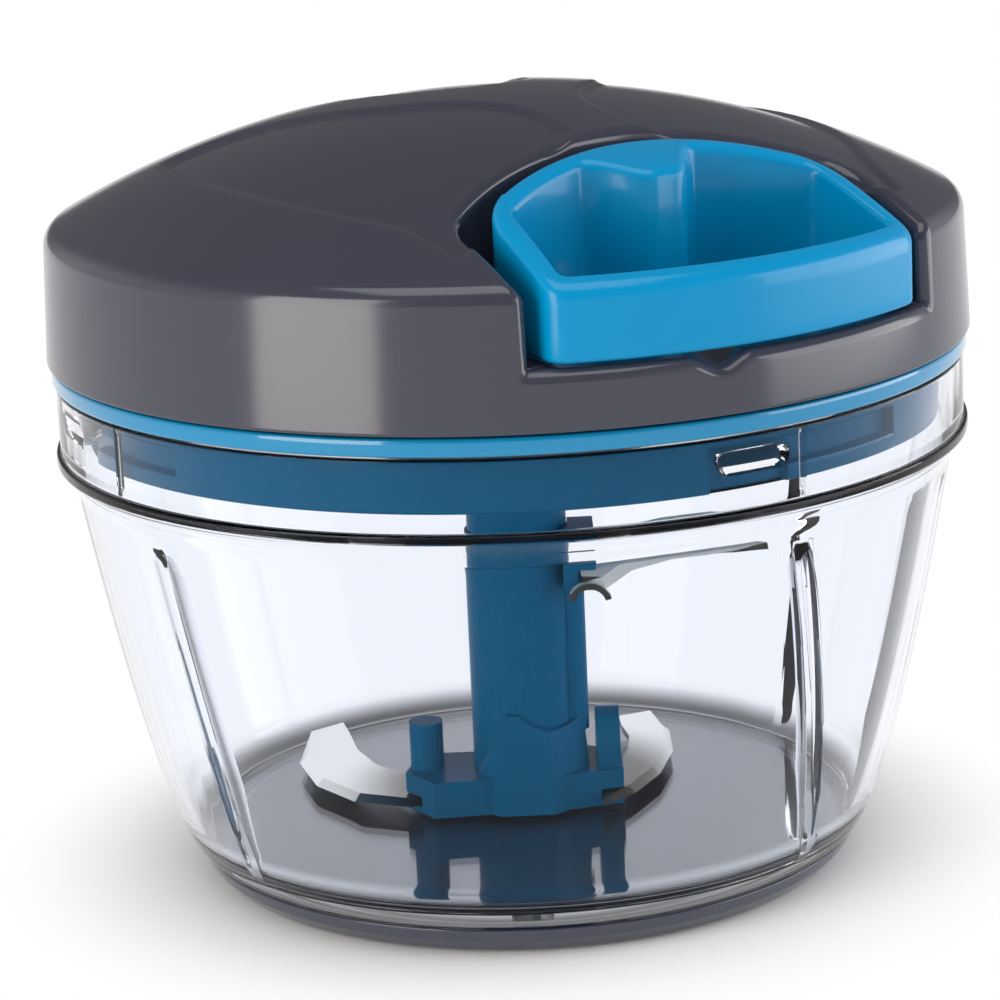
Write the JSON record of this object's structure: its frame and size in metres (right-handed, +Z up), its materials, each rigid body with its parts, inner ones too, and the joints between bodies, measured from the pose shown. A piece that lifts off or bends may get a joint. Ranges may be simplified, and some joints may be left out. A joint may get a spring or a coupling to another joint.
{
  "type": "pull-cord vegetable chopper",
  "caption": "Hand food chopper: a clear ribbed bowl with a curved-blade post, and a domed bayonet lid whose pull handle spins the blades by a cord reel.",
  "frame": {"origin": "centre of the base's underside, on the surface it stands on", "axes": "+Z up along the bowl's axis; the pull handle slides out at 59 degrees from +X towards -Y"},
  "size_m": [0.13, 0.13, 0.111],
  "materials": {
    "clear_bowl": "clear polished",
    "slate_base": "glossy dark slate",
    "charcoal_lid": "satin charcoal",
    "sky_blue": "glossy sky blue",
    "light_blue": "glossy light blue",
    "deep_blue": "satin deep blue",
    "blade_steel": "polished steel",
    "pin_steel": "plain steel",
    "spring_steel": "blued spring steel",
    "white_plastic": "matte white",
    "silicone": "pale matte silicone",
    "cord": "white braided cord"
  },
  "bodies": {
    "bowl": {"bowl": "clear_bowl", "anti_slip_base": "slate_base", "pivot_pin": "pin_steel"},
    "seal": {"lid_seal": "silicone"},
    "lid": {"lid_base": "light_blue", "lid_cover": "charcoal_lid", "lid_screw_1": "pin_steel", "lid_screw_2": "pin_steel", "lid_screw_3": "pin_steel", "lid_screw_4": "pin_steel", "spring_housing": "white_plastic", "housing_screw_1": "pin_steel", "housing_screw_2": "pin_steel", "housing_screw_3": "pin_steel", "recoil_spring": "spring_steel", "reel_axle": "pin_steel", "cord_guide": "pin_steel", "cord_lead": "cord"},
    "reel": {"cord_reel": "white_plastic", "cord_winding": "cord", "drive_hub": "deep_blue"},
    "handle": {"pull_handle": "sky_blue", "cord_knot": "cord", "pull_cord": "cord"},
    "blades": {"blade_post": "deep_blue", "drive_sleeve": "deep_blue", "left_blade": "blade_steel", "right_blade": "blade_steel", "upper_blade": "blade_steel"}
  },
  "joints": [
    {"name": "lid_lift", "type": "slide", "parent": "bowl", "child": "seal", "axis": [0, 0, 1], "range_m": [0, 0.12]},
    {"name": "lid_twist", "type": "hinge", "parent": "seal", "child": "lid", "pos_m": [0, 0, 0.07], "axis": [0, 0, -1], "range_deg": [0, 20]},
    {"name": "handle_pull", "type": "slide", "parent": "lid", "child": "handle", "axis": [0.515, -0.8572, 0], "range_m": [0, 0.2], "stiffness_N_per_m": 40, "springref_m": -0.05},
    {"name": "reel_spin", "type": "hinge", "parent": "lid", "child": "reel", "pos_m": [0, 0, 0.088], "axis": [0, 0, 1], "range_deg": [0, 720]},
    {"name": "blade_spin", "type": "hinge", "parent": "bowl", "child": "blades", "pos_m": [0, 0, 0.02], "axis": [0, 0, 1], "range_deg": [0, 720]}
  ],
  "couplings": [
    {"joint": "reel_spin", "follows": "handle_pull", "rad_per_m": 60.241},
    {"joint": "blade_spin", "follows": "handle_pull", "rad_per_m": 60.241}
  ]
}
